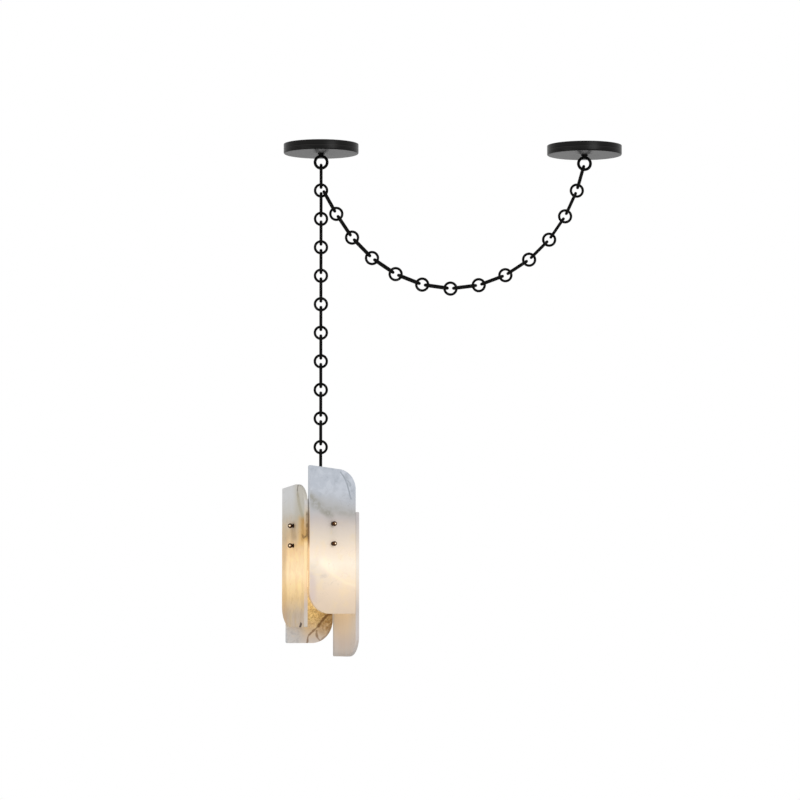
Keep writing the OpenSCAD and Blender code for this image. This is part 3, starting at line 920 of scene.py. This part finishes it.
# The neck is told from the ball by its height above the stone.
front_above = abs(ball_depth) * 1000 + front_face
side_above = abs(ball_across) * 1000 + side_face
ball_above_face = front_above * (1 - on_side) + side_above * on_side
ball_neck = ball_above_face.step(3.8, 2.6)

ball_cloud = balls.noise(balls.place, 500, 4)
# The painted highlight: brown turns to bright brass near each ball's tip.
ball_painted_highlight = (ball_below_tip + (ball_cloud - 0.5) * 0.1).step(-0.4, -0.1)
ball_brown = balls.mix(ball_cloud, tone(44, 22, 8), tone(90, 58, 32))
ball_brown = balls.mix(ball_neck * 0.85, ball_brown, tone(22, 12, 5))
balls.set(
    Base_Color=balls.mix(ball_painted_highlight, ball_brown, tone(238, 214, 178)),
    Metallic=1.0,
    Roughness=0.16 + ball_cloud * 0.12,
)
balls.bump(ball_cloud, 0.1, 0.3 * mm)
ball_brass = balls.done()

# %% [markdown]
# New pieces take their places from the frame, so that they can't drift from it. A CAD
# mesh comes as loose triangles, so a copy is merged first. The solids of one node are
# told apart as islands of joined faces.

# %% Helpers for pieces
smooth_limit = math.radians(32)


def merge_doubles(bm):
    bmesh.ops.remove_doubles(bm, verts=bm.verts, dist=0.001 * mm)


def merged_copy(node):
    """The node's mesh as a bmesh, its loose triangles joined."""
    bm = bmesh.new()
    bm.from_mesh(frame["nodes"][node].data)
    merge_doubles(bm)
    return bm


def islands(node):
    """The corner points of each solid of a node, in the order of the mesh."""
    bm = merged_copy(node)
    reached = set()
    found = []
    for first in bm.verts:
        if first in reached:
            continue
        reached.add(first)
        group = [first]
        for vert in group:
            for edge in vert.link_edges:
                other = edge.other_vert(vert)
                if other not in reached:
                    reached.add(other)
                    group.append(other)
        found.append([vert.co.copy() for vert in group])
    bm.free()
    return found


def middle_of(points):
    """The middle of the box round some points."""
    low = Vector([min(p[i] for p in points) for i in range(3)])
    high = Vector([max(p[i] for p in points) for i in range(3)])
    return (low + high) / 2


def make_piece(name, bm, body, material, replaced):
    """Turns a bmesh into a piece that rides on a body and stands for CAD nodes."""
    bmesh.ops.recalc_face_normals(bm, faces=bm.faces)
    for face in bm.faces:
        face.smooth = True
    for edge in bm.edges:
        edge.smooth = edge.calc_face_angle(0) < smooth_limit
    data = bpy.data.meshes.new(name)
    bm.to_mesh(data)
    bm.free()
    data.materials.append(material)
    piece = bpy.data.objects.new(name, data)
    scene.collection.objects.link(piece)
    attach(piece, body)
    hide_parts(*replaced)
    return piece


def add_copy(target, source, matrix):
    """Adds a moved copy of one bmesh to another."""
    data = bpy.data.meshes.new("copy")
    source.to_mesh(data)
    data.transform(matrix)
    target.from_mesh(data)
    bpy.data.meshes.remove(data)


def node_body(node):
    """The body that a node belongs to."""
    bodies = frame["record"]["behaviour"]["bodies"]
    return next(body for body, nodes in bodies.items() if node in nodes)


print("ball_screws has", len(islands("ball_screws")), "solids, on", node_body("ball_screws"))

# %% [markdown]
# A round ring is a circle of wire, spun once round. A torus from a menu would do, but a
# real ring is closed by a small weld, where the wire swells a little, and the spin
# leaves even quads for that.

# %% Rings of wire
wire_sides = 18
ring_steps = 56
weld_swell = 0.07
weld_half = 0.16
ring_low, ring_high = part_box("junction_ring")
ring_wire_r = (ring_high[1] - ring_low[1]) / 2
ring_middle_r = (ring_high[0] - ring_low[0]) / 2 - ring_wire_r
print("rings:", round(ring_wire_r / mm, 1), "and", round(ring_middle_r / mm, 1), "mm in radius")


def ring_mesh(weld):
    """A ring in the XZ plane, with its weld at an angle that counts from +X."""
    bm = bmesh.new()
    middle = Matrix.Translation((ring_middle_r, 0, 0))
    bmesh.ops.create_circle(bm, segments=wire_sides, radius=ring_wire_r, matrix=middle)
    bmesh.ops.spin(
        bm, geom=bm.verts[:] + bm.edges[:], cent=(0, 0, 0), axis=(0, 1, 0),
        angle=2 * math.pi, steps=ring_steps, use_merge=True,
    )
    merge_doubles(bm)
    for vert in bm.verts:
        around = math.atan2(vert.co.z, vert.co.x)
        off = abs((around - weld + math.pi) % (2 * math.pi) - math.pi)
        if off < weld_half:
            core = Vector((math.cos(around), 0, math.sin(around))) * ring_middle_r
            swell = weld_swell * (0.5 + 0.5 * math.cos(off / weld_half * math.pi))
            vert.co = core + (vert.co - core) * (1 + swell)
    return bm


# %% [markdown]
# A long link is half a spin at each end, joined by straight wire. A curve with a round
# section would bulge or pinch where the bends begin, so the wire is spun and extruded:
# one half first, then its copy, turned over, and their open rims meet in the middle.

# %% Long links
link_low, link_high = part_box("drop_link_01")
link_outer_l = link_high[2] - link_low[2]
link_outer_w = link_high[1] - link_low[1]
link_wire_r = (link_high[0] - link_low[0]) / 2
bend_steps = 24


def link_mesh():
    """A long link in the YZ plane, standing, its middle at the origin."""
    end_r = link_outer_w / 2 - link_wire_r
    straight = link_outer_l / 2 - link_outer_w / 2
    bm = bmesh.new()
    flat = Matrix.Translation((0, end_r, straight))
    bmesh.ops.create_circle(bm, segments=wire_sides, radius=link_wire_r, matrix=flat)
    bmesh.ops.spin(
        bm, geom=bm.verts[:] + bm.edges[:], cent=(0, 0, straight), axis=(1, 0, 0),
        angle=math.pi, steps=bend_steps,
    )
    rims = [edge for edge in bm.edges if edge.is_boundary]
    grown = bmesh.ops.extrude_edge_only(bm, edges=rims)["geom"]
    lowered = [item for item in grown if isinstance(item, bmesh.types.BMVert)]
    bmesh.ops.translate(bm, verts=lowered, vec=(0, 0, -straight))
    half = bm.verts[:] + bm.edges[:] + bm.faces[:]
    other = bmesh.ops.duplicate(bm, geom=half)["geom"]
    turned = [item for item in other if isinstance(item, bmesh.types.BMVert)]
    bmesh.ops.rotate(bm, verts=turned, cent=(0, 0, 0), matrix=Matrix.Rotation(math.pi, 3, "X"))
    merge_doubles(bm)
    return bm


# %% [markdown]
# The chain hangs as the frame says: each ring and link goes to the middle of its solid,
# and a link leans as the solid's farthest point does. The swag could be curved anew
# here, but then it might leave the joints. All welds are turned differently.

# %% Hang the chain
first_weld = 0.9
weld_turn = 1.7
plain_link = link_mesh()
print("a link has", len(plain_link.faces), "faces")
chain_pieces = 0
for node in sorted(frame["nodes"]):
    if not node.startswith(("drop_", "swag_", "junction_")):
        continue
    made = bmesh.new()
    for number, points in enumerate(islands(node)):
        middle = middle_of(points)
        if "ring" in node:
            one = ring_mesh(first_weld + weld_turn * (chain_pieces + number))
            add_copy(made, one, Matrix.Translation(middle))
            one.free()
            continue
        tip = max(points, key=lambda p: (p - middle).length)
        run = Vector((tip.x - middle.x, 0, tip.z - middle.z))
        lean = math.atan2(run.x, run.z)
        add_copy(made, plain_link, Matrix.Translation(middle) @ Matrix.Rotation(lean, 4, "Y"))
    chain_pieces += 1
    make_piece(f"{node}_wire", made, node_body(node), chain_steel, [node])
plain_link.free()
print("chain pieces:", chain_pieces)

# %% [markdown]
# A canopy is pressed from one disc, so one profile spun round the axis gives all of it:
# flat underside, rolled edge, side wall, a thin rim and the hollow inside. A thickened
# shell would leave a sharp rim.

# %% Canopies
canopy_wall = 1.2 * mm
canopy_edge = 2.4 * mm
canopy_hole_r = 5.0 * mm
canopy_rim_r = 0.4 * mm
canopy_steps = 128


def arc(middle, radius, start, end, steps):
    """Points of an arc in the plane of a profile, from one angle to another in degrees."""
    angles = [math.radians(start + (end - start) * i / steps) for i in range(steps + 1)]
    return [(middle[0] + radius * math.cos(a), middle[1] + radius * math.sin(a)) for a in angles]


def spun(profile, middle, steps, closed=True):
    """A profile of (radius, height) points, spun round the upright through a point."""
    bm = bmesh.new()
    verts = [bm.verts.new((middle.x + r, middle.y, middle.z + z)) for r, z in profile]
    ends = verts[1:] + verts[:1] if closed else verts[1:]
    edges = [bm.edges.new(pair) for pair in zip(verts, ends)]
    bmesh.ops.spin(
        bm, geom=verts + edges, cent=middle, axis=(0, 0, 1),
        angle=2 * math.pi, steps=steps, use_merge=True,
    )
    merge_doubles(bm)
    return bm


for side in ("left", "right"):
    node = f"canopy_{side}"
    low, high = (Vector(corner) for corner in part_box(node))
    middle = Vector(((low.x + high.x) / 2, 0, high.z))
    radius = (high.x - low.x) / 2
    depth = high.z - low.z
    inner_r = canopy_edge - canopy_wall
    profile = [(canopy_hole_r, -depth), (radius * 0.5, -depth), (radius * 0.85, -depth)]
    profile += arc((radius - canopy_edge, -depth + canopy_edge), canopy_edge, -90, 0, 8)
    profile += arc((radius - canopy_rim_r, -canopy_rim_r), canopy_rim_r, 0, 90, 3)
    profile += [(radius - canopy_wall, 0)]
    profile += arc((radius - canopy_edge, -depth + canopy_edge), inner_r, 0, -90, 5)
    profile += [(radius * 0.5, -depth + canopy_wall), (canopy_hole_r, -depth + canopy_wall)]
    finish = canopy_finish(f"canopy_black_{side}", middle)
    shell = spun(profile, middle, canopy_steps)
    make_piece(f"{node}_shell", shell, "ceiling", finish, [node])
    print(node, "radius", round(radius * 1000, 1), "mm, depth", round(depth * 1000, 1), "mm")

# %% [markdown]
# Each slab is sawn, honed and hand-eased at its edges. The CAD slab's outline is right,
# so a copy gets its flat faces back whole, and its sharp edges get a small round bevel,
# which catches the light as the real edges do. Only the small faces are smooth, so that
# the flats stay flat.

# %% Slabs
ease = 1.3 * mm
flat_limit = math.radians(0.5)
sharp_angle = math.radians(40)
small_face = 40 * mm * mm
for node, material in slab_finishes.items():
    bm = merged_copy(node)
    bmesh.ops.dissolve_limit(bm, angle_limit=flat_limit, verts=bm.verts, edges=bm.edges)
    sharp = [edge for edge in bm.edges if edge.calc_face_angle(0) > sharp_angle]
    bmesh.ops.bevel(
        bm, geom=sharp, offset=ease, segments=3, profile=0.5,
        affect="EDGES", material=-1, clamp_overlap=True,
    )
    piece = make_piece(f"{node}_slab", bm, "lamp", material, [node])
    for face in piece.data.polygons:
        face.use_smooth = face.area < small_face
    print(node, "has", len(piece.data.polygons), "faces")

# %% [markdown]
# A ball-headed screw is turned from one bar. So it isn't put together from a sphere and
# discs, but its outline is spun: shank, foot disc, waisted neck and ball.

# %% Ball-headed screws
neck_r = 2.3 * mm
foot_r = 4.3 * mm
shank_r = 2.0 * mm
shank_end = -15.7 * mm
screw_steps = 32


def screw_mesh():
    """A ball-headed screw that stands along +Z, the stone's face at z = 0."""
    meet = math.degrees(math.asin(neck_r / ball_r))
    profile = [(0, shank_end), (shank_r * 0.8, shank_end)]
    profile += [(shank_r, shank_end + 0.5 * mm), (shank_r, 0)]
    profile += [(foot_r, 0), (foot_r, 0.6 * mm), (foot_r - 0.4 * mm, 1.0 * mm)]
    profile += [(neck_r + 0.5 * mm, 1.1 * mm), (neck_r, 1.7 * mm)]
    profile += arc((0, ball_reach), ball_r, meet - 90, 90, 18)
    return spun(profile, Vector((0, 0, 0)), screw_steps, closed=False)


one_screw = screw_mesh()
screws = bmesh.new()
for points in islands("ball_screws"):
    outward = middle_of(points)
    outward.z = 0
    away = outward.normalized()
    farthest = max(p.to_2d().dot(away.to_2d()) for p in points)
    face = away * (farthest - ball_reach - ball_r)
    face.z = middle_of(points).z
    aim = away.to_track_quat("Z", "Y").to_matrix().to_4x4()
    add_copy(screws, one_screw, Matrix.Translation(face) @ aim)
one_screw.free()
piece = make_piece("ball_headed_screws", screws, "lamp", ball_brass, ["ball_screws"])
print("the screws have", len(piece.data.polygons), "faces")

# %% [markdown]
# The other parts keep their CAD shape, which is right for nuts, bars and pads. Copies of
# the round ones are merged, so that they shade smoothly, and every one gets its finish.

# %% Remaining parts
smoothed = (
    ("chain_black", chain_steel, ("hang_loop_left", "hang_loop_right")),
    ("chain_black", chain_steel, ("loop_washer_left", "loop_washer_right", "hang_eye")),
    ("bronze_dark", bronze, ("eye_sleeve", "holder_cap")),
    ("phenolic", resin, ("lampholder",)),
    ("nickel", nickel, ("bulb_base",)),
    ("bulb_glass", bulb_glow, ("bulb_glass",)),
    ("bronze_dark", bronze, ("bracket",)),
)
for slot, material, nodes in smoothed:
    for node in nodes:
        make_piece(f"{node}_smooth", merged_copy(node), node_body(node), material, [node])
    print("smoothed", *nodes)

kept = {"screw_shell": brass, "stone_pads": rubber, "eye_nuts": zinc, "screw_nuts": zinc}
for side in ("left", "right"):
    kept[f"crossbar_{side}"] = zinc
    kept[f"loop_nuts_{side}"] = zinc
for node, material in kept.items():
    data = frame["nodes"][node].data
    data.materials.clear()
    data.materials.append(material)
print("kept as they are:", *kept)

# %% [markdown]
# The dressed lamp has to fill the same box as the CAD model.
